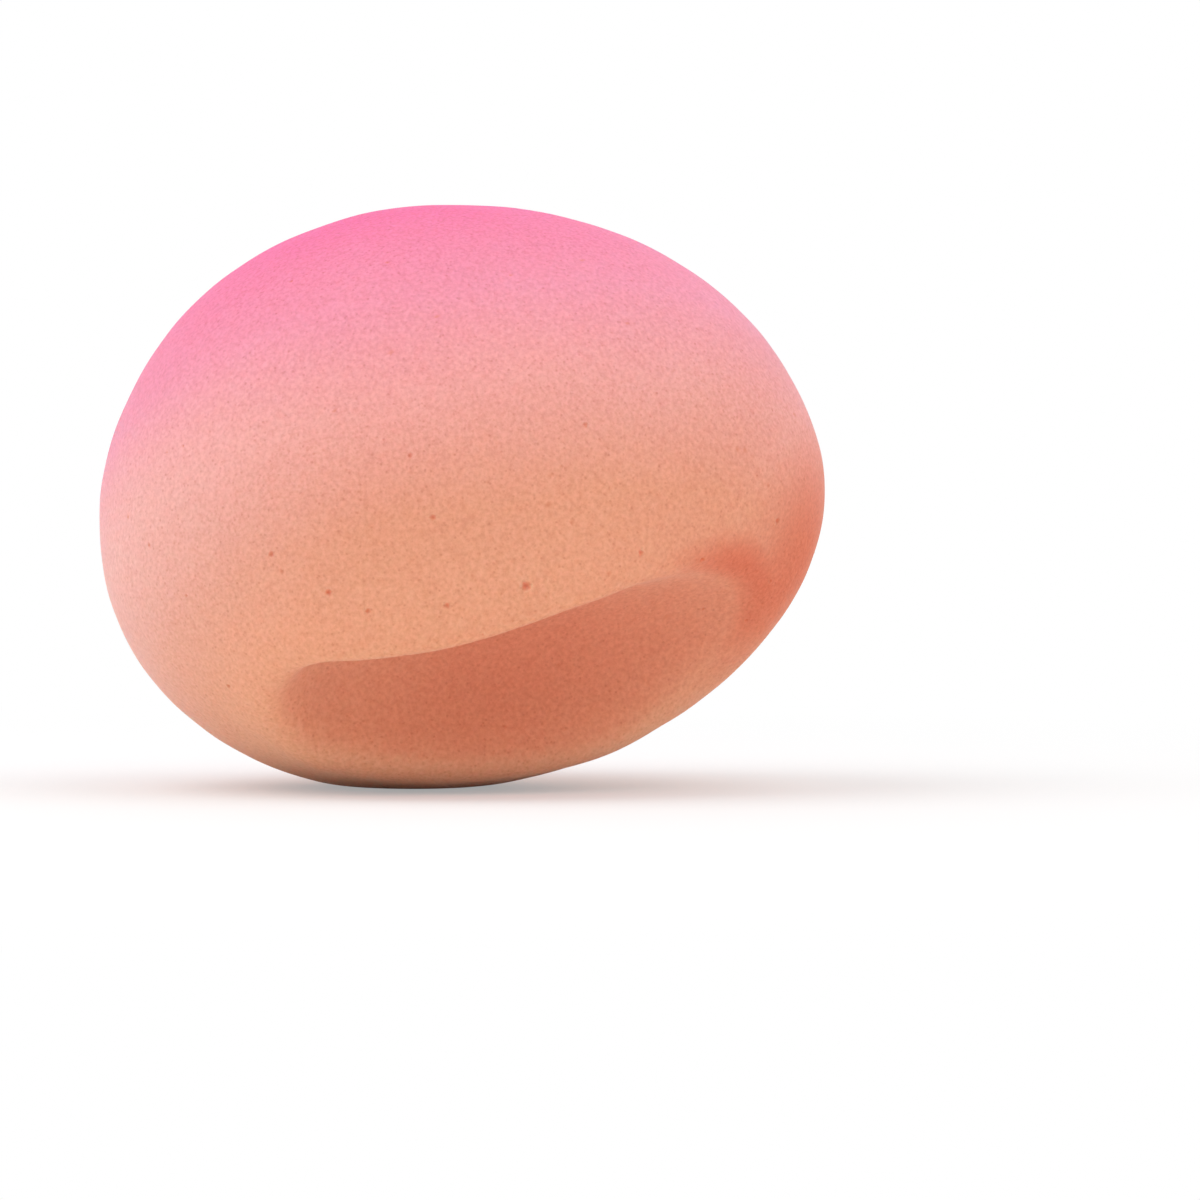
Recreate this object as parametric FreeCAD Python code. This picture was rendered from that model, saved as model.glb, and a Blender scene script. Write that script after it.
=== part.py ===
"""Makeup sponge of soft foam, stored as it is pinched in use.

The foam is an egg lying on its side, with a rounded hollow pressed into its lower front.
It is one block whose dye fades, divided here where its shades meet: a peach base that
holds the hollow, a coral wedge above it, and a pink crown that leans back. When the sponge
is squeezed, the crown and the wedge sink together and the base is the foam that gives.

Frame: millimetres, +X to the right along the egg, +Y to the back, +Z up. The origin is on
the surface that the sponge lies on, in the middle of its length and depth.
"""

import FreeCAD
import Part
import math
import os

# The egg, measured from its middle. Its long axis rises towards the right.
LEFT_REACH = 30.0
RIGHT_REACH = 36.0
CROWN_RISE = 28.6
BASE_DROP = 24.5
HALF_DEPTH = 24.0
LEAN_DEG = 7.9

# The flat that the sponge rests on, cut off the underside.
REST_FLAT_DEPTH = 0.5

# The pinch hollow, a taper that lies along the lower front and ends in a round tip. The
# tip's centre is measured from the left end, from the foremost foam and from the rest face.
HOLLOW_TIP_RADIUS = 5.0
HOLLOW_HEEL_RADIUS = 11.7
HOLLOW_LENGTH = 42.0
HOLLOW_TIP_INSET = 22.9
HOLLOW_TIP_SETBACK = 6.5
HOLLOW_TIP_HEIGHT = 8.4
HOLLOW_RISE_DEG = 2.0

# The borders between the shades. The base ends at a level plane. The pink crown starts at
# a plane through its own level on the upright axis, leaning to the back and to the left.
PEACH_LEVEL = 23.0
PINK_LEVEL = 27.0
PINK_BACK_LEAN_DEG = 30.0
PINK_LEFT_LEAN_DEG = 12.0

# How far every cutting tool runs past the foam.
OVERRUN = 5.0

FULL_TURN_DEG = 360.0
QUARTER_TURN_DEG = 90.0

ORIGIN = FreeCAD.Vector(0, 0, 0)
X_AXIS = FreeCAD.Vector(1, 0, 0)
Y_AXIS = FreeCAD.Vector(0, 1, 0)
Z_AXIS = FreeCAD.Vector(0, 0, 1)


def leaning_extent(along_axis, across_axis):
    """How far a leaning quarter of an ellipse reaches, from its two half axes."""
    lean = math.radians(LEAN_DEG)
    return math.hypot(along_axis * math.cos(lean), across_axis * math.sin(lean))


# How far the leaning egg reaches from its middle, and where its middle is.
LEFT_EXTENT = leaning_extent(LEFT_REACH, CROWN_RISE)
RIGHT_EXTENT = leaning_extent(RIGHT_REACH, BASE_DROP)
TOP_EXTENT = leaning_extent(CROWN_RISE, RIGHT_REACH)
BOTTOM_EXTENT = leaning_extent(BASE_DROP, LEFT_REACH)
SPONGE_LENGTH = LEFT_EXTENT + RIGHT_EXTENT
SPONGE_HEIGHT = BOTTOM_EXTENT + TOP_EXTENT - REST_FLAT_DEPTH
MIDDLE = FreeCAD.Vector(LEFT_EXTENT - SPONGE_LENGTH / 2, 0, BOTTOM_EXTENT - REST_FLAT_DEPTH)

# A side for the cutting blocks that is longer than the foam in any direction.
BLOCK_SIDE = SPONGE_LENGTH + SPONGE_HEIGHT + 2 * HALF_DEPTH + OVERRUN


def egg_quarter(turns, side_reach, rise):
    """A quarter of the egg: a quarter of a unit ball, turned to its place and stretched."""
    ball = Part.makeSphere(1, ORIGIN, Z_AXIS, -QUARTER_TURN_DEG, QUARTER_TURN_DEG, QUARTER_TURN_DEG)
    ball.rotate(ORIGIN, X_AXIS, QUARTER_TURN_DEG)
    ball.rotate(ORIGIN, Y_AXIS, -turns * QUARTER_TURN_DEG)
    stretch = FreeCAD.Matrix()
    stretch.scale(side_reach, HALF_DEPTH, rise)
    return ball.transformGeometry(stretch)


def egg():
    """The foam before it is pinched and cut flat, leaning and in its place."""
    reaches = [
        (RIGHT_REACH, CROWN_RISE),
        (LEFT_REACH, CROWN_RISE),
        (LEFT_REACH, BASE_DROP),
        (RIGHT_REACH, BASE_DROP),
    ]
    quarters = [egg_quarter(turns, side, rise) for turns, (side, rise) in enumerate(reaches)]
    foam = quarters[0].multiFuse(quarters[1:]).removeSplitter()
    foam.rotate(ORIGIN, Y_AXIS, -LEAN_DEG)
    foam.translate(MIDDLE)
    return foam


def pinch_hollow():
    """The space pressed into the foam: a cone whose round tip runs smoothly into its side."""
    taper = math.asin((HOLLOW_HEEL_RADIUS - HOLLOW_TIP_RADIUS) / HOLLOW_LENGTH)
    side = FreeCAD.Vector(-math.sin(taper), 0, math.cos(taper))
    halfway = (math.pi / 2 - taper) / 2
    bow = FreeCAD.Vector(-math.cos(halfway), 0, math.sin(halfway))
    tip_end = X_AXIS * -HOLLOW_TIP_RADIUS
    tip_side = side * HOLLOW_TIP_RADIUS
    heel_side = X_AXIS * HOLLOW_LENGTH + side * HOLLOW_HEEL_RADIUS
    heel_middle = X_AXIS * heel_side.x
    outline = Part.Wire(
        [
            Part.Arc(tip_end, bow * HOLLOW_TIP_RADIUS, tip_side).toShape(),
            Part.makeLine(tip_side, heel_side),
            Part.makeLine(heel_side, heel_middle),
            Part.makeLine(heel_middle, tip_end),
        ]
    )
    space = Part.Face(outline).revolve(ORIGIN, X_AXIS, FULL_TURN_DEG)
    space.rotate(ORIGIN, Y_AXIS, -HOLLOW_RISE_DEG)
    tip_x = HOLLOW_TIP_INSET - SPONGE_LENGTH / 2
    tip_y = HOLLOW_TIP_SETBACK - HALF_DEPTH
    space.translate(FreeCAD.Vector(tip_x, tip_y, HOLLOW_TIP_HEIGHT))
    return space


def level_slab(low, high):
    """A block that is wider than the foam, between two heights."""
    corner = FreeCAD.Vector(-BLOCK_SIDE / 2, -BLOCK_SIDE / 2, low)
    return Part.makeBox(BLOCK_SIDE, BLOCK_SIDE, high - low, corner)


def pink_side():
    """A block that takes up everything on the pink side of the leaning border."""
    block = level_slab(0, BLOCK_SIDE)
    block.rotate(ORIGIN, Y_AXIS, -PINK_LEFT_LEAN_DEG)
    block.rotate(ORIGIN, X_AXIS, -PINK_BACK_LEAN_DEG)
    block.translate(Z_AXIS * PINK_LEVEL)
    return block


def main():
    foam = egg().cut(pinch_hollow())
    upper = foam.common(level_slab(PEACH_LEVEL, SPONGE_HEIGHT + OVERRUN))
    pink = pink_side()
    shades = {
        "peach_base": foam.common(level_slab(0, PEACH_LEVEL)),
        "coral_middle": upper.cut(pink),
        "pink_crown": upper.common(pink),
    }
    os.makedirs("parts", exist_ok=True)
    for name, shade in shades.items():
        shade.exportStep(os.path.join("parts", name + ".step"))
        print(name, "solids", len(shade.Solids), "volume", round(shade.Volume), "mm3")


main()
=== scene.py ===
"""Foam makeup sponge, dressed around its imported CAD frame.

The sponge is one continuous egg of soft, dyed foam, pinched at its lower front. Its mesh is
cut out of two bmesh solids and remeshed in even cells, and every point is settled onto one
smooth surface: the egg, the pinch hollow with its rolled lips, and the flat that it rests on.
All lengths are in metres, in the frame of the CAD parts.
"""

import math
import random

import bmesh
import bpy
import numpy as np
from mathutils import Matrix, Vector, kdtree, noise


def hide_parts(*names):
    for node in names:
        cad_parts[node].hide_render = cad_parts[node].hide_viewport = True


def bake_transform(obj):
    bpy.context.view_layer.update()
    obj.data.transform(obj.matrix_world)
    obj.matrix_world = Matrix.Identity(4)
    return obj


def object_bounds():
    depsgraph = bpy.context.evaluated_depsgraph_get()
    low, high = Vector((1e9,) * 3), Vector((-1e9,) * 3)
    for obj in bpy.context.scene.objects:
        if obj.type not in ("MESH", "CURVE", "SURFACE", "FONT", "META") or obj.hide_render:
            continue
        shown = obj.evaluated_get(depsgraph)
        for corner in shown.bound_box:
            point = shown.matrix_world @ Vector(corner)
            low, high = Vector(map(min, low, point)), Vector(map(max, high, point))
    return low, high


bl_info = {
    "name": "Foam makeup sponge",
    "version": (1, 0, 0),
    "blender": (4, 5, 0),
    "location": "3D View > Sidebar > Sponge",
    "description": "Builds a pinched, dyed foam makeup sponge on its CAD frame, and a studio for it",
    "category": "Object",
}

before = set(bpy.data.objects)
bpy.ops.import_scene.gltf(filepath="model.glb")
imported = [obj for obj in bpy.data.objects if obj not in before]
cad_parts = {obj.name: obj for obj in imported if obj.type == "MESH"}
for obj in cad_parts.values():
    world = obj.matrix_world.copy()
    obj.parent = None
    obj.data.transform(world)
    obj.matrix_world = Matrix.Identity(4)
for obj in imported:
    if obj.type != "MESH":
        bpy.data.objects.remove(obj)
CAD_LOW, CAD_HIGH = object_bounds()


class FoamShape(bpy.types.PropertyGroup):
    """Sizes of the foam. They follow the CAD parts, but the hollow rises a little more."""

    left_reach: bpy.props.FloatProperty(
        name="Left reach", description="Middle of the egg to its left end", default=0.030, unit="LENGTH"
    )
    right_reach: bpy.props.FloatProperty(
        name="Right reach",
        description="Middle of the egg to its right end",
        default=0.036,
        unit="LENGTH",
    )
    crown_rise: bpy.props.FloatProperty(
        name="Crown rise", description="Middle of the egg to its crown", default=0.0286, unit="LENGTH"
    )
    base_drop: bpy.props.FloatProperty(
        name="Base drop",
        description="Middle of the egg to its underside",
        default=0.0245,
        unit="LENGTH",
    )
    half_depth: bpy.props.FloatProperty(
        name="Half depth",
        description="Middle of the egg to its front and back",
        default=(CAD_HIGH.y - CAD_LOW.y) / 2,
        unit="LENGTH",
    )
    lean: bpy.props.FloatProperty(
        name="Lean",
        description="How steeply the long axis rises to the right",
        default=math.radians(7.9),
        subtype="ANGLE",
    )
    hollow_tip: bpy.props.FloatVectorProperty(
        name="Hollow tip",
        description="Centre of the pinch hollow's round tip",
        default=(-0.010, -0.0175, 0.0084),
        subtype="TRANSLATION",
        unit="LENGTH",
    )
    hollow_tip_radius: bpy.props.FloatProperty(
        name="Tip radius", description="Radius of the hollow's round tip", default=0.005, unit="LENGTH"
    )
    hollow_heel_radius: bpy.props.FloatProperty(
        name="Heel radius",
        description="Radius of the hollow where it runs out",
        default=0.0117,
        unit="LENGTH",
    )
    hollow_length: bpy.props.FloatProperty(
        name="Hollow length", description="Tip centre to heel centre", default=0.042, unit="LENGTH"
    )
    hollow_rise: bpy.props.FloatProperty(
        name="Hollow rise",
        description="How steeply the hollow rises to the right",
        default=math.radians(2.8),
        subtype="ANGLE",
    )
    lip_round: bpy.props.FloatProperty(
        name="Lip rounding",
        description="Rounding of the hollow's upper lip",
        default=0.0022,
        unit="LENGTH",
    )
    brim_round: bpy.props.FloatProperty(
        name="Brim rounding",
        description="Rounding of the hollow's lower and left brim",
        default=0.0045,
        unit="LENGTH",
    )
    lip_swell: bpy.props.FloatProperty(
        name="Lip swell",
        description="How far pressed foam swells beside the hollow",
        default=0.0018,
        unit="LENGTH",
    )
    swell_reach: bpy.props.FloatProperty(
        name="Swell reach",
        description="How far from the hollow the swell fades",
        default=0.0052,
        unit="LENGTH",
    )
    flat_round: bpy.props.FloatProperty(
        name="Flat rounding", description="Rounding round the rest flat", default=0.0006, unit="LENGTH"
    )
    cell: bpy.props.FloatProperty(
        name="Mesh cell", description="Size of the foam's mesh cells", default=0.0004, unit="LENGTH"
    )
    unevenness: bpy.props.FloatProperty(
        name="Unevenness", description="Height of the foam's slow waves", default=0.00016, unit="LENGTH"
    )
    wave: bpy.props.FloatProperty(
        name="Wave", description="Length of the foam's slow waves", default=0.011, unit="LENGTH"
    )
    pit_count: bpy.props.IntProperty(
        name="Pits", description="How many burst bubbles are scattered over the foam", default=90
    )


class FoamLook(bpy.types.PropertyGroup):
    """Dye and pores of the foam, and the colours of painted shade, painted glow and a painted sheen."""

    peach: bpy.props.FloatVectorProperty(
        name="Peach", description="Dye at the underside", default=(0.96, 0.495, 0.305), subtype="COLOR"
    )
    apricot: bpy.props.FloatVectorProperty(
        name="Apricot",
        description="Dye above the hollow",
        default=(0.955, 0.460, 0.302),
        subtype="COLOR",
    )
    coral: bpy.props.FloatVectorProperty(
        name="Coral", description="Dye at half height", default=(0.98, 0.470, 0.432), subtype="COLOR"
    )
    rose: bpy.props.FloatVectorProperty(
        name="Rose", description="Dye under the crown", default=(0.91, 0.348, 0.468), subtype="COLOR"
    )
    pink: bpy.props.FloatVectorProperty(
        name="Pink", description="Dye at the crown", default=(0.81, 0.149, 0.340), subtype="COLOR"
    )
    deep_pink: bpy.props.FloatVectorProperty(
        name="Deep pink",
        description="Dye behind the crown",
        default=(0.77, 0.122, 0.305),
        subtype="COLOR",
    )
    # Painted shade in and beside the hollow, and a painted red glow of light through the thin right
    # end.
    flush: bpy.props.FloatVectorProperty(
        name="Flush",
        description="Pressed foam in and beside the hollow",
        default=(0.78, 0.155, 0.074),
        subtype="COLOR",
    )
    # Painted pale sheen where the light from the left falls, not thinner dye.
    pale: bpy.props.FloatVectorProperty(
        name="Pale",
        description="Thinner dye at the left end",
        default=(0.97, 0.58, 0.53),
        subtype="COLOR",
    )
    # Painted shade inside a burst bubble.
    pit: bpy.props.FloatVectorProperty(
        name="Pit", description="Inside of a burst bubble", default=(0.72, 0.20, 0.09), subtype="COLOR"
    )
    dye_axis: bpy.props.FloatVectorProperty(
        name="Dye axis",
        description="Direction in which the dye turns from peach to pink",
        default=(-0.18, 0.49, 0.85),
        subtype="DIRECTION",
    )
    grain: bpy.props.FloatProperty(
        name="Grain", description="Width of the foam's pores", default=0.00036, unit="LENGTH"
    )
    relief: bpy.props.FloatProperty(
        name="Relief", description="Depth of the foam's pores", default=0.00014, unit="LENGTH"
    )


class StageLook(bpy.types.PropertyGroup):
    """Floor, light and camera."""

    lens: bpy.props.FloatProperty(
        name="Lens", description="Focal length in millimetres", default=150.0, unit="CAMERA"
    )
    frame_width: bpy.props.FloatProperty(
        name="Frame width",
        description="Width of the view at the sponge's middle",
        default=0.1091,
        unit="LENGTH",
    )
    elevation: bpy.props.FloatProperty(
        name="Elevation",
        description="How far the camera looks down",
        default=math.radians(0.2),
        subtype="ANGLE",
    )
    shift: bpy.props.FloatVectorProperty(
        name="Shift",
        description="Camera shift that places the sponge in the frame",
        default=(0.115, -0.0865),
        size=2,
    )
    sky: bpy.props.FloatProperty(
        name="Sky", description="Strength of the even studio light", default=0.82
    )
    dim_share: bpy.props.FloatProperty(
        name="Front dimming",
        description="How much dimmer the light is from the camera's side",
        default=0.36,
    )
    key_watts: bpy.props.FloatProperty(
        name="Key light",
        description="Power of the soft lamp above on the left",
        default=1.75,
        unit="POWER",
    )
    fill_watts: bpy.props.FloatProperty(
        name="Fill light",
        description="Power of the soft lamp above on the right",
        default=1.15,
        unit="POWER",
    )
    floor: bpy.props.FloatVectorProperty(
        name="Floor", description="Colour of the floor", default=(0.84, 0.84, 0.84), subtype="COLOR"
    )


def smooth_max(first, second, width):
    """The larger of two distances, rounded where they are within a width of each other."""
    overlap = np.maximum(width - np.abs(first - second), 0.0) / width
    return np.maximum(first, second) + overlap * overlap * width / 4


def smooth_step(values, low, high):
    """0 below low and 1 above high, eased between them."""
    share = np.clip((values - low) / (high - low), 0.0, 1.0)
    return share * share * (3 - 2 * share)


# Soft dents where the foam folds at the hollow's right end, as (place, reach, depth).
CREASES = [((0.0285, -0.0105, 0.0213), 0.0042, 0.0008)]

# Where the swell fades out, in shares of the hollow's length, and where the upper lip's own
# rounding sets in, in radii of the hollow's tip. Both are measured along the hollow.
SWELL_FADE_SHARES = (0.5, 0.8)
LIP_START_SHARES = (-1.4, -0.4)

# How finely slopes are measured, and how the foremost foam is found.
SLOPE_STEPS_PER_CELL = 20
LEAST_SLOPE = 1e-9
FRONT_SAMPLES = 400
FRONT_SETTLE_ROUNDS = 4


class FoamSurface:
    """The smooth surface of the pinched foam, as a distance that is zero on it."""

    def __init__(self, shape):
        self.shape = shape
        cos, sin = math.cos(shape.lean), math.sin(shape.lean)
        self.along = np.array((cos, 0.0, sin))
        self.up = np.array((-sin, 0.0, cos))
        left_extent = math.hypot(shape.left_reach * cos, shape.crown_rise * sin)
        top_extent = math.hypot(shape.crown_rise * cos, shape.right_reach * sin)
        self.middle = np.array((CAD_LOW.x + left_extent, 0.0, CAD_HIGH.z - top_extent))
        self.tip = np.array(shape.hollow_tip)
        self.hollow_axis = np.array((math.cos(shape.hollow_rise), 0.0, math.sin(shape.hollow_rise)))

    def egg(self, points):
        """About the distance from the egg before it is pinched, less than zero inside it."""
        shape = self.shape
        offset = points - self.middle
        along = offset @ self.along
        up = offset @ self.up
        radii = np.stack(
            (
                np.where(along > 0, shape.right_reach, shape.left_reach),
                np.full(len(points), shape.half_depth),
                np.where(up > 0, shape.crown_rise, shape.base_drop),
            ),
            axis=1,
        )
        scaled = np.stack((along, offset[:, 1], up), axis=1) / radii
        reach = np.linalg.norm(scaled, axis=1)
        slope = np.linalg.norm(scaled / radii, axis=1)
        return reach * (reach - 1) / np.maximum(slope, LEAST_SLOPE)

    def hollow_place(self, points):
        """Distance along the hollow from its tip, and out from its axis."""
        offset = points - self.tip
        along = offset @ self.hollow_axis
        out = np.linalg.norm(offset - np.outer(along, self.hollow_axis), axis=1)
        return along, out

    def hollow(self, points):
        """Distance from the space of the pinch hollow, less than zero inside it."""
        shape = self.shape
        along, out = self.hollow_place(points)
        taper = (shape.hollow_heel_radius - shape.hollow_tip_radius) / shape.hollow_length
        upright = math.sqrt(1 - taper * taper)
        side = upright * out - taper * along - shape.hollow_tip_radius
        tip = np.hypot(along, out) - shape.hollow_tip_radius
        return np.where(along + taper / upright * out < 0, tip, side)

    def foam(self, points):
        """Distance from the foam with its lips, crease and rest flat, less than zero inside it."""
        shape = self.shape
        hollow = self.hollow(points)
        along, _ = self.hollow_place(points)
        above = points[:, 2] - self.tip[2] - along * math.tan(shape.hollow_rise)
        swell_fade = [share * shape.hollow_length for share in SWELL_FADE_SHARES]
        swell = shape.lip_swell * np.exp(-np.square(hollow / shape.swell_reach))
        swell *= 1 - smooth_step(along, *swell_fade)
        crease = np.zeros(len(points))
        for place, reach, depth in CREASES:
            crease += depth * np.exp(-np.square(np.linalg.norm(points - place, axis=1) / reach))
        radius = shape.hollow_tip_radius
        lip_start = [share * radius for share in LIP_START_SHARES]
        lip_share = smooth_step(above, 0.0, radius) * smooth_step(along, *lip_start)
        rounding = shape.brim_round + (shape.lip_round - shape.brim_round) * lip_share
        pinched = smooth_max(self.egg(points) - swell + crease, -hollow, rounding)
        return smooth_max(pinched, -points[:, 2], shape.flat_round)

    def normals(self, points):
        """Outward directions, and how fast the distance grows along them."""
        step = self.shape.cell / SLOPE_STEPS_PER_CELL
        slopes = np.stack(
            [
                (self.foam(points + axis * step) - self.foam(points - axis * step)) / (2 * step)
                for axis in np.eye(3)
            ],
            axis=1,
        )
        steepness = np.linalg.norm(slopes, axis=1)
        return slopes / steepness[:, None], steepness

    def settle(self, points, rounds):
        """Moves points onto the surface."""
        for _ in range(rounds):
            directions, steepness = self.normals(points)
            points = points - directions * (self.foam(points) / steepness)[:, None]
        return points

    def front_point(self, x, z):
        """The foremost point of the foam at a place in the front view."""
        depths = np.linspace(-self.shape.half_depth, 0.0, FRONT_SAMPLES)
        line = np.stack((np.full_like(depths, x), depths, np.full_like(depths, z)), axis=1)
        inside = self.foam(line) <= 0
        return self.settle(line[inside.argmax()][None, :], FRONT_SETTLE_ROUNDS)[0]


def coordinates(mesh):
    """The vertices of a mesh as rows of numbers."""
    flat = np.empty(len(mesh.vertices) * 3, np.float32)
    mesh.vertices.foreach_get("co", flat)
    return flat.reshape(-1, 3).astype(float)


def store(mesh, name, kind, field, values):
    """Keeps one value per vertex under a name that materials can read."""
    layer = mesh.attributes.new(name, kind, "POINT")
    layer.data.foreach_set(field, np.asarray(values, np.float32).ravel())


def mesh_object(name, mesh):
    """Puts a mesh into the scene."""
    made = bpy.data.objects.new(name, mesh)
    bpy.context.scene.collection.objects.link(made)
    return made


def bmesh_object(name, solid):
    """Puts a bmesh solid into the scene and frees it."""
    mesh = bpy.data.meshes.new(name)
    solid.to_mesh(mesh)
    solid.free()
    return mesh_object(name, mesh)


# How finely the balls are divided that the solids are made from.
EGG_SUBDIVISIONS = 6
HOLLOW_SUBDIVISIONS = 5


def egg_solid(surface):
    """The egg before it is pinched: a ball stretched by a different reach on each side."""
    shape = surface.shape
    solid = bmesh.new()
    bmesh.ops.create_icosphere(solid, subdivisions=EGG_SUBDIVISIONS, radius=1.0)
    sides = [
        ((shape.left_reach, shape.half_depth, 1.0), [vert for vert in solid.verts if vert.co.x < 0]),
        ((shape.right_reach, shape.half_depth, 1.0), [vert for vert in solid.verts if vert.co.x >= 0]),
        ((1.0, 1.0, shape.base_drop), [vert for vert in solid.verts if vert.co.z < 0]),
        ((1.0, 1.0, shape.crown_rise), [vert for vert in solid.verts if vert.co.z >= 0]),
    ]
    for reach, verts in sides:
        bmesh.ops.scale(solid, vec=reach, verts=verts)
    bmesh.ops.rotate(solid, matrix=Matrix.Rotation(-shape.lean, 3, "Y"), verts=solid.verts)
    bmesh.ops.translate(solid, vec=surface.middle, verts=solid.verts)
    return bmesh_object("egg_solid", solid)


def hollow_solid(surface):
    """The space of the pinch hollow: the hull of a ball at its tip and one at its heel."""
    shape = surface.shape
    heel = Vector(surface.tip + surface.hollow_axis * shape.hollow_length)
    solid = bmesh.new()
    balls = ((Vector(surface.tip), shape.hollow_tip_radius), (heel, shape.hollow_heel_radius))
    for centre, radius in balls:
        place = Matrix.Translation(centre)
        bmesh.ops.create_icosphere(solid, subdivisions=HOLLOW_SUBDIVISIONS, radius=radius, matrix=place)
    hull = bmesh.ops.convex_hull(solid, input=solid.verts)
    inner = {part for part in hull["geom_interior"] if isinstance(part, bmesh.types.BMVert)}
    bmesh.ops.delete(solid, geom=list(inner), context="VERTS")
    unused = set(hull["geom_unused"])
    loose = [face for face in solid.faces if face in unused]
    bmesh.ops.delete(solid, geom=loose, context="FACES_ONLY")
    bmesh.ops.recalc_face_normals(solid, faces=solid.faces)
    return bmesh_object("hollow_solid", solid)


def evened_mesh(form, cell):
    """The mesh of an object, its modifiers applied, in even cells. The object is removed."""
    even = form.modifiers.new("even_cells", "REMESH")
    even.mode = "VOXEL"
    even.voxel_size = cell
    bpy.context.view_layer.update()
    ready = form.evaluated_get(bpy.context.evaluated_depsgraph_get())
    mesh = bpy.data.meshes.new_from_object(ready)
    bpy.data.meshes.remove(form.data)
    return mesh


def pinched_mesh(surface):
    """The egg with the hollow cut out of it."""
    egg = egg_solid(surface)
    hollow = hollow_solid(surface)
    cut = egg.modifiers.new("pinch", "BOOLEAN")
    cut.operation = "DIFFERENCE"
    cut.solver = "EXACT"
    cut.object = hollow
    mesh = evened_mesh(egg, surface.shape.cell)
    bpy.data.meshes.remove(hollow.data)
    return mesh


# How often the mesh is evened out and settled, and how far a vertex moves each time towards
# the middle of its neighbours.
RELAX_ROUNDS = 3
SETTLE_ROUNDS = 2
SMOOTHING_SHARE = 0.5


def relax(mesh, surface):
    """Evens the cells of a mesh out and settles it on the surface, in turns."""
    solid = bmesh.new()
    solid.from_mesh(mesh)
    for _ in range(RELAX_ROUNDS):
        bmesh.ops.smooth_vert(
            solid,
            verts=solid.verts,
            factor=SMOOTHING_SHARE,
            use_axis_x=True,
            use_axis_y=True,
            use_axis_z=True,
        )
        settled = surface.settle(np.array([vert.co for vert in solid.verts]), SETTLE_ROUNDS)
        for vert, place in zip(solid.verts, settled):
            vert.co = place
    solid.to_mesh(mesh)
    solid.free()


# Burst bubbles that the front shows, as (x, z, radius).
FRONT_PITS = [
    (0.0055, 0.0188, 0.00048),
    (-0.0025, 0.0247, 0.00032),
    (0.0155, 0.0216, 0.00030),
    (0.0210, 0.0210, 0.00030),
    (-0.0013, 0.0171, 0.00030),
    (-0.0082, 0.0166, 0.00030),
    (-0.0116, 0.0182, 0.00034),
    (-0.0165, 0.0215, 0.00030),
    (0.0279, 0.0243, 0.00032),
    (-0.0045, 0.0300, 0.00026),
    (-0.0205, 0.0098, 0.00026),
    (0.0107, 0.0327, 0.00026),
]

# The scatter of smaller ones all over the foam.
SCATTER_SEED = 11
SCATTER_RADII = (0.00011, 0.00021)

# The form of a burst bubble, in shares of its radius: how deep it is, how high, far out and
# wide its rim is, how far out its cells are finer, and how ragged its outline is.
PIT_DEPTH_SHARE = 0.55
PIT_RIM_SHARE = 0.12
PIT_RIM_PLACE_SHARE = 1.25
PIT_RIM_WIDTH_SHARE = 0.3
PIT_REACH_SHARE = 1.9
PIT_RAGGED_SHARE = 0.35

# How often an edge is cut at a pit, and how many corners a face may keep beside the cuts.
PIT_CUTS = 3
MOST_CORNERS = 4


def pit_places(surface, mesh):
    """Centres and radii of the burst bubbles: those seen in front, and a scatter all over."""
    places = [(Vector(surface.front_point(x, z)), radius) for x, z, radius in FRONT_PITS]
    draw = random.Random(SCATTER_SEED)
    corners = sorted(tuple(vert.co) for vert in mesh.vertices)
    for corner in draw.sample(corners, surface.shape.pit_count):
        places.append((Vector(corner), draw.uniform(*SCATTER_RADII)))
    return places


def nearest_pits(verts, places):
    """For each vertex, its distance from the nearest pit in that pit's radii, and the radius."""
    tree = kdtree.KDTree(len(places))
    for index, (centre, _) in enumerate(places):
        tree.insert(centre, index)
    tree.balance()
    found = []
    for vert in verts:
        _, index, distance = tree.find(vert.co)
        radius = places[index][1]
        ragged = 1 + PIT_RAGGED_SHARE * noise.noise(vert.co / radius)
        found.append((distance * ragged / radius, radius))
    return found


def press_pits(mesh, places):
    """Gives a mesh finer cells at its pits, sinks them, and returns each vertex's depth in one."""
    solid = bmesh.new()
    solid.from_mesh(mesh)
    solid.verts.index_update()
    near = [share < PIT_REACH_SHARE for share, _ in nearest_pits(solid.verts, places)]
    edges = [edge for edge in solid.edges if all(near[vert.index] for vert in edge.verts)]
    bmesh.ops.subdivide_edges(solid, edges=edges, cuts=PIT_CUTS, use_grid_fill=True)
    wide = [face for face in solid.faces if len(face.verts) > MOST_CORNERS]
    bmesh.ops.poke(solid, faces=wide)
    solid.normal_update()
    depths = []
    for vert, (share, radius) in zip(solid.verts, nearest_pits(solid.verts, places)):
        bowl = max(1 - share * share, 0.0)
        rim = math.exp(-((share - PIT_RIM_PLACE_SHARE) / PIT_RIM_WIDTH_SHARE) ** 2)
        vert.co += vert.normal * radius * (PIT_RIM_SHARE * rim - PIT_DEPTH_SHARE * bowl * bowl)
        depths.append(bowl)
    for face in solid.faces:
        face.smooth = True
    solid.to_mesh(mesh)
    solid.free()
    return depths


# The height over which the waves grow from nothing on the rest flat, and the smaller ripples
# on them.
WAVE_FOOT = 0.002
RIPPLES_PER_WAVE = 3.1
RIPPLE_SHARE = 1 / 3


def waves(points, shape):
    """Slow unevenness of the moulded foam at each point."""
    heights = []
    for point in map(Vector, points):
        ripple = noise.noise(point * RIPPLES_PER_WAVE / shape.wave)
        heights.append(noise.noise(point / shape.wave) + RIPPLE_SHARE * ripple)
    return np.array(heights) * shape.unevenness * smooth_step(points[:, 2], 0.0, WAVE_FOOT)


# Painted shade on the hollow's wall: it deepens inwards and is fainter towards the hollow's tip.
WALL_SHADE_SHARES = (0.36, 0.50)
WALL_SHADE_DEPTHS = (0.001, 0.007)
WALL_SHADE_REACH = 0.0012
TIP_SHADE_SHARE = 0.45
TIP_SHADE_SPAN = (-0.004, 0.016)
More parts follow.
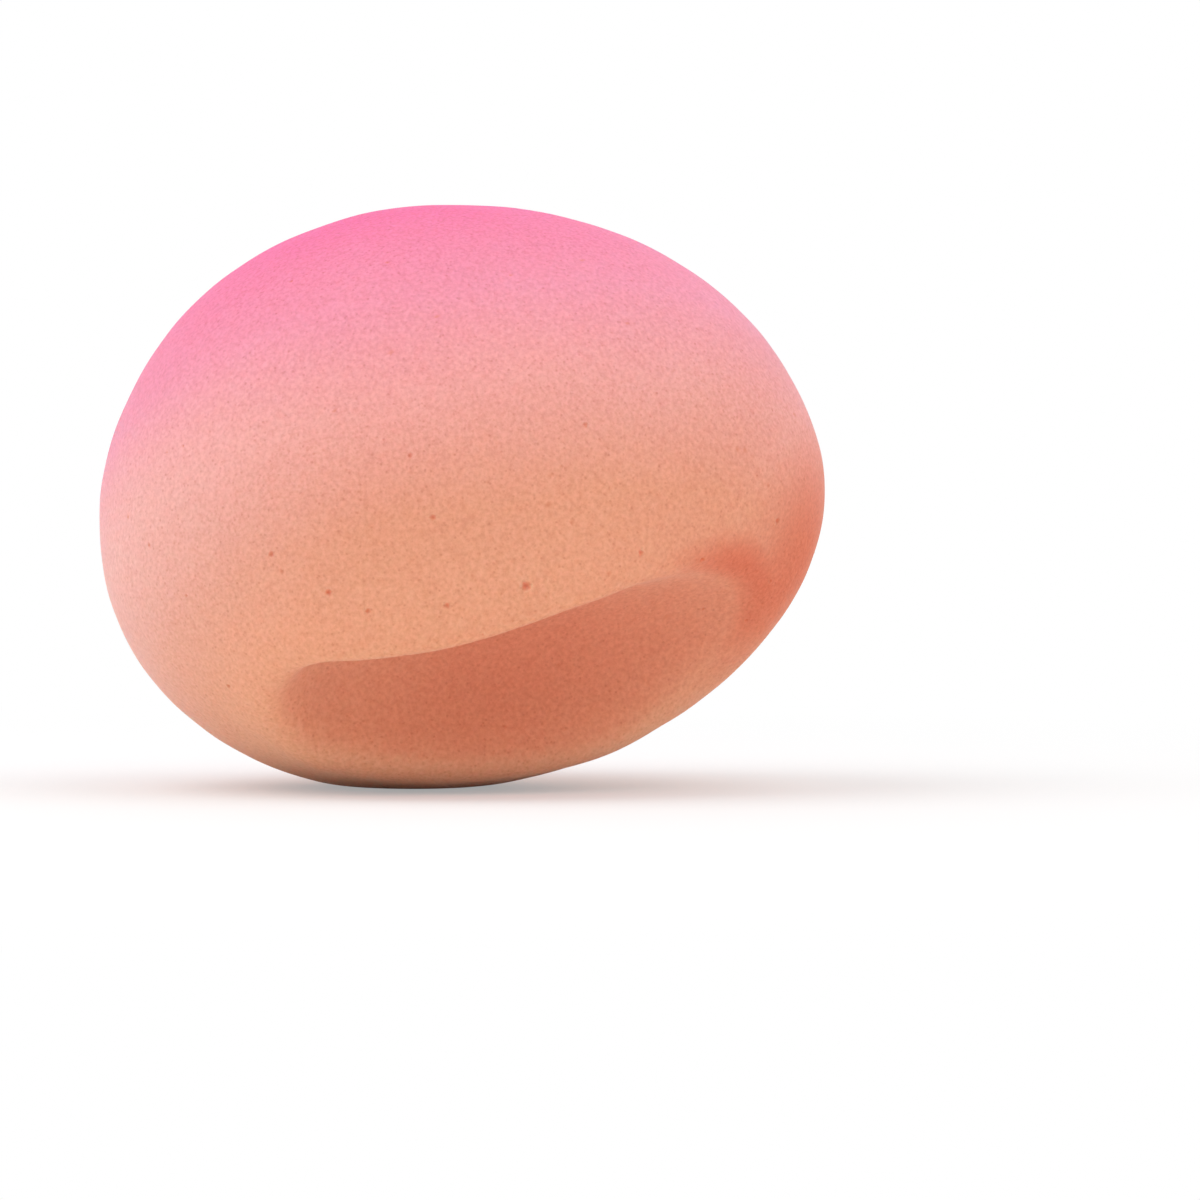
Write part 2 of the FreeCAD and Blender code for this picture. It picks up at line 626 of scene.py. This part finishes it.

# Painted shade above the lip towards its right end, and a painted red glow on the rim of the right end,
# from which a faint painted glow reaches further in. Both fade to the underside and to the back.
LIP_SHADE_SHARE = 0.95
LIP_SHADE_SPAN = (0.024, 0.036)
LIP_SHADE_REACH = 0.0025
RIM_GLOW_SPAN = (0.0180, 0.0325)
RIM_FAINT_GLOW_SHARE = 0.12
RIM_FAINT_GLOW_SPAN = (0.0060, 0.0200)
RIM_GLOW_LEVEL = 0.0195
RIM_GLOW_LEAN_SHARE = 0.64
OUTER_SHADE_GLOW_DEPTHS = (0.0006, 0.0035)
SHADE_GLOW_FOOT = (0.0020, 0.0210)
SHADE_GLOW_BACK = (-0.0100, 0.0200)


def wall_painted_shade(hollow, along, depth):
    """Painted shade on the wall, from distances to the hollow, along it and below the egg's surface."""
    shallow, deep = WALL_SHADE_SHARES
    wall = shallow + (deep - shallow) * smooth_step(depth, *WALL_SHADE_DEPTHS)
    wall *= np.exp(-np.square(np.maximum(hollow, 0.0) / WALL_SHADE_REACH))
    return wall * (TIP_SHADE_SHARE + (1 - TIP_SHADE_SHARE) * smooth_step(along, *TIP_SHADE_SPAN))


def outer_shade_glow(points, hollow, along, depth):
    """Painted shade and glow on the outside, from the points and from the same distances."""
    lip = smooth_step(along, *LIP_SHADE_SPAN) * np.exp(-np.square(hollow / LIP_SHADE_REACH))
    x, y, z = points.T
    out = x - RIM_GLOW_LEAN_SHARE * (z - RIM_GLOW_LEVEL)
    faint = RIM_FAINT_GLOW_SHARE * smooth_step(out, *RIM_FAINT_GLOW_SPAN)
    rim = np.maximum(smooth_step(out, *RIM_GLOW_SPAN), faint)
    outer_share = 1 - smooth_step(depth, *OUTER_SHADE_GLOW_DEPTHS)
    fading = smooth_step(z, *SHADE_GLOW_FOOT) * (1 - smooth_step(y, *SHADE_GLOW_BACK))
    return outer_share * fading * np.maximum(lip * LIP_SHADE_SHARE, rim)


def painted_shade_glow_of(points, surface):
    """How much painted shade and glow each point of the foam gets, from 0 to 1."""
    hollow = surface.hollow(points)
    along, _ = surface.hollow_place(points)
    depth = -surface.egg(points)
    return np.maximum(wall_painted_shade(hollow, along, depth), outer_shade_glow(points, hollow, along, depth))


def foam_mesh(surface):
    """The mesh of the pinched foam, with its pits, its waves and what its material reads."""
    mesh = pinched_mesh(surface)
    relax(mesh, surface)
    # Settling stretches the cells at the lips, so they are made even and settled once more.
    mesh = evened_mesh(mesh_object("rough_foam", mesh), surface.shape.cell)
    relax(mesh, surface)
    depths = press_pits(mesh, pit_places(surface, mesh))
    smooth = coordinates(mesh)
    outward, _ = surface.normals(smooth)
    places = smooth + outward * waves(smooth, surface.shape)[:, None]
    places[:, 2] = np.maximum(places[:, 2], 0.0)
    mesh.vertices.foreach_set("co", places.astype(np.float32).ravel())
    mesh.update()
    store(mesh, "rest_place", "FLOAT_VECTOR", "vector", places)
    store(mesh, "pit_depth", "FLOAT", "value", depths)
    # The share of painted shade and glow at each point, which the material reads.
    store(mesh, "pressed", "FLOAT", "value", painted_shade_glow_of(smooth, surface))
    return mesh


WHITE = (1.0, 1.0, 1.0)

# The sockets of a Mix node that are used for colours, which share their names with others.
MIX_FACTOR = 0
MIX_FIRST = 6
MIX_SECOND = 7
MIX_RESULT = 2

# The middle of a noise texture's values, and how rough the textures are.
NOISE_MIDDLE = 0.5
NOISE_ROUGHNESS = 0.6


def rgba(colour):
    """A colour as a socket takes it."""
    return colour if isinstance(colour, Socket) else (*colour, 1.0)


class Socket:
    """An output of a shader node. Arithmetic on it adds Math nodes to its tree."""

    def __init__(self, shader, output):
        self.shader = shader
        self.output = output

    def math(self, operation, first, second):
        return self.shader.node("ShaderNodeMath", {"operation": operation}, {0: first, 1: second})

    def __add__(self, other):
        return self.math("ADD", self, other)

    def __radd__(self, other):
        return self.math("ADD", other, self)

    def __sub__(self, other):
        return self.math("SUBTRACT", self, other)

    def __rsub__(self, other):
        return self.math("SUBTRACT", other, self)

    def __mul__(self, other):
        return self.math("MULTIPLY", self, other)

    def __rmul__(self, other):
        return self.math("MULTIPLY", other, self)


class Shader:
    """Builds the node tree of a material or of the world."""

    def __init__(self, owner):
        owner.use_nodes = True
        self.tree = owner.node_tree
        self.tree.nodes.clear()

    def node(self, kind, settings=None, sockets=None, output=0):
        """Adds a node, sets it up, fills or links its sockets, and returns one of its outputs."""
        made = self.tree.nodes.new(kind)
        for name, value in (settings or {}).items():
            if name == "stops":
                self.set_stops(made.color_ramp, value)
            else:
                setattr(made, name, value)
        for name, value in (sockets or {}).items():
            if isinstance(value, Socket):
                self.tree.links.new(value.output, made.inputs[name])
            else:
                made.inputs[name].default_value = value
        return Socket(self, made.outputs[output]) if made.outputs else made

    @staticmethod
    def set_stops(ramp, stops):
        """Gives a colour ramp its stops, as (place, colour) in rising order."""
        for place, _ in stops[len(ramp.elements):]:
            ramp.elements.new(place)
        for element, (place, colour) in zip(ramp.elements, stops):
            element.position = place
            element.color = rgba(colour)

    def attribute(self, name, output):
        """A value that the mesh keeps under a name."""
        return self.node("ShaderNodeAttribute", {"attribute_name": name}, output=output)

    def noise_texture(self, place, size, detail):
        """Cloudy values in lumps of a size."""
        sockets = {"Vector": place, "Scale": 1 / size, "Detail": detail, "Roughness": NOISE_ROUGHNESS}
        return self.node("ShaderNodeTexNoise", {}, sockets)

    def share_along(self, value, span, easing="LINEAR"):
        """How far along a span a value is, from 0 at its start to 1 at its end."""
        start, end = span
        sockets = {"Value": value, "From Min": start, "From Max": end}
        return self.node("ShaderNodeMapRange", {"interpolation_type": easing}, sockets)

    def mix_colour(self, factor, first, second, blend="MIX"):
        """Two colours mixed by a factor, or the second blended onto the first."""
        settings = {"data_type": "RGBA", "blend_type": blend}
        sockets = {MIX_FACTOR: factor, MIX_FIRST: rgba(first), MIX_SECOND: rgba(second)}
        return self.node("ShaderNodeMix", settings, sockets, MIX_RESULT)


# Where each dye of the ombre is strongest along the dye axis, the stretch that the ombre
# takes up, and how far and in what size of lumps its places wander.
DYE_PLACES = (0.000, 0.010, 0.0195, 0.0295, 0.043, 0.051)
DYE_SPAN = (-0.006, 0.052)
DYE_WANDER = 0.0025
WANDER_SIZE = 0.016

# Where a painted pale sheen of the light from the left lies over the dye: towards the left end,
# and along the dye axis below the crown and above the underside. Each span runs from none of it to the
# most.
PAINTED_SHEEN_SHARE = 0.5
SHEEN_LEFT_SPAN = (-0.004, -0.032)
SHEEN_BELOW_SPAN = (0.032, 0.018)
SHEEN_ABOVE_SPAN = (0.001, 0.013)

# The textures: a fine grain, pores spaced in shares of the grain, and wider blotches.
FINE_DETAIL = 2.0
GRAIN_EDGES = (0.3, 0.7)
PORE_SPACING_SHARE = 1.6
PORE_EDGES = (0.05, 0.28)
BLOTCH_SIZE = 0.0016
BLOTCH_DETAIL = 3.0

# How strongly they, the painted shade and glow, and the painted shade in burst bubbles tint the dye,
# and with what.
SHADE_GLOW_TINT_SHARE = 0.9
GRAIN_TINT_SHARE = 0.65
PORE_TINT_SHARE = 0.45
PORE_TINT = (0.80, 0.66, 0.61)
BLOTCH_TINT_SHARE = 0.2
BLOTCH_TINT = (0.95, 0.90, 0.88)
PIT_SHADE_SHARE = 0.5

# How far they stand out, in shares of the relief, and how rough the foam is.
GRAIN_HEIGHT_SHARE = 0.8
BLOTCH_HEIGHT_SHARE = 0.5
PORE_DEPTH_SHARE = 0.35
LEAST_ROUGHNESS = 0.86
GRAIN_ROUGHNESS = 0.12


def ombre(shader, look, place):
    """The dye, which turns from peach to pink along its axis, with a painted pale sheen at the left
    end.
    """
    product = {"operation": "DOT_PRODUCT"}
    along = shader.node("ShaderNodeVectorMath", product, {0: place, 1: look.dye_axis}, "Value")
    wander = shader.noise_texture(place, WANDER_SIZE, FINE_DETAIL)
    dyed = shader.share_along(along + (wander - NOISE_MIDDLE) * DYE_WANDER, DYE_SPAN)
    low, high = DYE_SPAN
    dyes = (look.peach, look.apricot, look.coral, look.rose, look.pink, look.deep_pink)
    stops = [((spot - low) / (high - low), dye) for spot, dye in zip(DYE_PLACES, dyes)]
    dye = shader.node("ShaderNodeValToRGB", {"stops": stops}, {0: dyed})
    left = shader.node("ShaderNodeSeparateXYZ", {}, {0: place}, "X")
    leftward = shader.share_along(left, SHEEN_LEFT_SPAN, "SMOOTHSTEP")
    below = shader.share_along(along, SHEEN_BELOW_SPAN, "SMOOTHSTEP")
    above = shader.share_along(along, SHEEN_ABOVE_SPAN, "SMOOTHSTEP")
    # Painted pale sheen: the dye is mixed towards a paler colour at the left end, where the light from
    # the left falls.
    return shader.mix_colour(leftward * below * above * PAINTED_SHEEN_SHARE, dye, look.pale)


def foam_material(look):
    """Matte open-cell foam: an ombre dye with a painted pale sheen at the left end, fine pores, burst
    bubbles with painted shade, and painted shade and glow at the hollow and the right end.
    """
    material = bpy.data.materials.new("dyed_foam")
    shader = Shader(material)
    place = shader.attribute("rest_place", "Vector")
    pit = shader.attribute("pit_depth", "Fac")
    pressed = shader.attribute("pressed", "Fac")

    grain = shader.noise_texture(place, look.grain, FINE_DETAIL)
    blotch = shader.noise_texture(place, BLOTCH_SIZE, BLOTCH_DETAIL)
    spacing = {"Vector": place, "Scale": 1 / (PORE_SPACING_SHARE * look.grain)}
    cells = shader.node("ShaderNodeTexVoronoi", {"feature": "F1"}, spacing, "Distance")
    pores = 1 - shader.share_along(cells, PORE_EDGES)
    gaps = 1 - shader.share_along(grain, GRAIN_EDGES)

    # Painted shade in and beside the hollow and painted red glow at the right end, laid over the dye.
    shade_glow_painted = shader.mix_colour(pressed * SHADE_GLOW_TINT_SHARE, ombre(shader, look, place), look.flush)
    speckle = gaps * GRAIN_TINT_SHARE + pores * PORE_TINT_SHARE
    speckled = shader.mix_colour(speckle, shade_glow_painted, PORE_TINT, "MULTIPLY")
    clouded = shader.mix_colour(blotch * BLOTCH_TINT_SHARE, speckled, BLOTCH_TINT, "MULTIPLY")
    # Painted shade inside the burst bubbles, deepest at their middles.
    pit_shaded = shader.mix_colour(pit * PIT_SHADE_SHARE, clouded, look.pit)

    height = grain * GRAIN_HEIGHT_SHARE + blotch * BLOTCH_HEIGHT_SHARE - pores * PORE_DEPTH_SHARE
    relief = {"Strength": 0.6, "Distance": look.relief, "Height": height}
    surface = shader.node(
        "ShaderNodeBsdfPrincipled",
        {"subsurface_method": "RANDOM_WALK"},
        {
            "Base Color": pit_shaded,
            "Roughness": LEAST_ROUGHNESS + grain * GRAIN_ROUGHNESS,
            "Normal": shader.node("ShaderNodeBump", {}, relief),
            "Specular IOR Level": 0.22,
            "Subsurface Weight": 0.6,
            "Subsurface Radius": (1.0, 0.4, 0.25),
            "Subsurface Scale": 0.004,
            "Sheen Weight": 0.1,
            "Sheen Roughness": 0.4,
            "Sheen Tint": rgba((1.0, 0.82, 0.84)),
        },
    )
    shader.node("ShaderNodeOutputMaterial", {}, {"Surface": surface})
    return material


class SPONGE_OT_foam(bpy.types.Operator):
    """Build the dyed foam body in the frame's coordinates and hide the CAD parts"""

    bl_idname = "sponge.foam"
    bl_label = "Foam"

    def execute(self, context):
        surface = FoamSurface(context.scene.sponge_shape)
        foam = mesh_object("foam_sponge", foam_mesh(surface))
        foam.data.materials.append(foam_material(context.scene.sponge_look))
        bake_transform(foam)
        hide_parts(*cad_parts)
        return {"FINISHED"}


# The floor, how far from its middle it starts and ends turning white, and how white it looks
# nearer than that.
FLOOR_SIDE = 4.0
SHADE_RADII = (0.05, 0.16)
NEAR_WHITE_SHARE = 0.35

# The lamps, and how near to the camera the view starts.
KEY_PLACE = (-0.34, -0.10, 0.58)
FILL_PLACE = (0.26, -0.10, 0.64)
LAMP_SIDE = 0.5
CLIP_START = 0.01


def background_rays(shader):
    """1 for rays that look straight at the background, or see it mirrored or through glass."""
    names = ("Is Camera Ray", "Is Glossy Ray", "Is Transmission Ray")
    straight, mirrored, through = [shader.node("ShaderNodeLightPath", output=name) for name in names]
    total = straight + mirrored + through
    return shader.node("ShaderNodeMath", {"operation": "MINIMUM"}, {0: total, 1: 1.0})


def floor_material(look):
    """A pale floor that keeps the shadow near the sponge and fades to plain white further out."""
    material = bpy.data.materials.new("pale_floor")
    shader = Shader(material)
    place = shader.node("ShaderNodeTexCoord", output="Object")
    distance = shader.node("ShaderNodeVectorMath", {"operation": "LENGTH"}, {0: place}, "Value")
    fade = shader.share_along(distance, SHADE_RADII, "SMOOTHSTEP")
    white_share = background_rays(shader) * (NEAR_WHITE_SHARE + fade * (1 - NEAR_WHITE_SHARE))
    matte = shader.node("ShaderNodeBsdfDiffuse", {}, {"Color": rgba(look.floor)})
    white = shader.node("ShaderNodeEmission", {}, {"Color": rgba(WHITE), "Strength": 1.0})
    mixed = shader.node("ShaderNodeMixShader", {}, {0: white_share, 1: matte, 2: white})
    shader.node("ShaderNodeOutputMaterial", {}, {"Surface": mixed})
    return material


def studio_world(look):
    """A sky that lights the sponge softly, dimmer from the camera's side, and looks white."""
    world = bpy.data.worlds.new("studio")
    shader = Shader(world)
    seen = background_rays(shader)
    direction = shader.node("ShaderNodeTexCoord", output="Generated")
    back = shader.node("ShaderNodeSeparateXYZ", {}, {0: direction}, "Y")
    front = shader.node("ShaderNodeMath", {"operation": "MAXIMUM"}, {0: 0 - back, 1: 0.0})
    lit = look.sky * (1 - front * look.dim_share)
    strength = lit + seen * (1 - lit)
    light = shader.node("ShaderNodeBackground", {}, {"Color": rgba(WHITE), "Strength": strength})
    shader.node("ShaderNodeOutputWorld", {}, {"Surface": light})
    return world


def aim(thing, place, target):
    """Puts a lamp or camera somewhere and points it at a target."""
    thing.location = place
    thing.rotation_euler = (Vector(target) - Vector(place)).to_track_quat("-Z", "Y").to_euler()


def add_lamp(scene, name, watts, place, target):
    """Hangs a soft, square lamp that points at a target."""
    lamp = bpy.data.lights.new(name, "AREA")
    lamp.energy = watts
    lamp.size = LAMP_SIDE
    panel = bpy.data.objects.new(name, lamp)
    aim(panel, place, target)
    scene.collection.objects.link(panel)


def add_camera(scene, look, target):
    """Puts the camera as far in front of a target as its frame's width needs."""
    lens = bpy.data.cameras.new("camera")
    lens.lens = look.lens
    lens.shift_x, lens.shift_y = look.shift
    lens.clip_start = CLIP_START
    camera = bpy.data.objects.new("camera", lens)
    distance = look.frame_width * look.lens / lens.sensor_width
    back = Vector((0.0, -math.cos(look.elevation), math.sin(look.elevation)))
    aim(camera, target + back * distance, target)
    scene.collection.objects.link(camera)
    scene.camera = camera


class SPONGE_OT_stage(bpy.types.Operator):
    """Build the floor, the light and the camera"""

    bl_idname = "sponge.stage"
    bl_label = "Stage"

    def execute(self, context):
        scene = context.scene
        look = scene.sponge_stage
        middle = (CAD_LOW + CAD_HIGH) / 2
        solid = bmesh.new()
        bmesh.ops.create_grid(solid, x_segments=1, y_segments=1, size=FLOOR_SIDE / 2)
        floor = bmesh_object("floor", solid)
        floor.data.materials.append(floor_material(look))
        scene.world = studio_world(look)
        add_lamp(scene, "key", look.key_watts, KEY_PLACE, middle)
        add_lamp(scene, "fill", look.fill_watts, FILL_PLACE, middle)
        add_camera(scene, look, middle)
        scene.view_settings.view_transform = "Standard"
        return {"FINISHED"}


GROUPS = ("sponge_shape", "sponge_look", "sponge_stage")


class SPONGE_PT_sidebar(bpy.types.Panel):
    """Sizes, colours and steps of the sponge"""

    bl_idname = "SPONGE_PT_sidebar"
    bl_label = "Makeup sponge"
    bl_space_type = "VIEW_3D"
    bl_region_type = "UI"
    bl_category = "Sponge"

    def draw(self, context):
        for group in (getattr(context.scene, name) for name in GROUPS):
            box = self.layout.box()
            for name in group.__annotations__:
                box.prop(group, name)
        for step in (SPONGE_OT_foam, SPONGE_OT_stage):
            self.layout.operator(step.bl_idname)


CLASSES = (FoamShape, FoamLook, StageLook, SPONGE_OT_foam, SPONGE_OT_stage, SPONGE_PT_sidebar)


def register():
    for made in CLASSES:
        bpy.utils.register_class(made)
    bpy.types.Scene.sponge_shape = bpy.props.PointerProperty(type=FoamShape)
    bpy.types.Scene.sponge_look = bpy.props.PointerProperty(type=FoamLook)
    bpy.types.Scene.sponge_stage = bpy.props.PointerProperty(type=StageLook)


def unregister():
    for name in GROUPS:
        delattr(bpy.types.Scene, name)
    for made in reversed(CLASSES):
        bpy.utils.unregister_class(made)


def main():
    register()
    bpy.ops.sponge.foam()
    bpy.ops.sponge.stage()


if __name__ == "__main__":
    main()
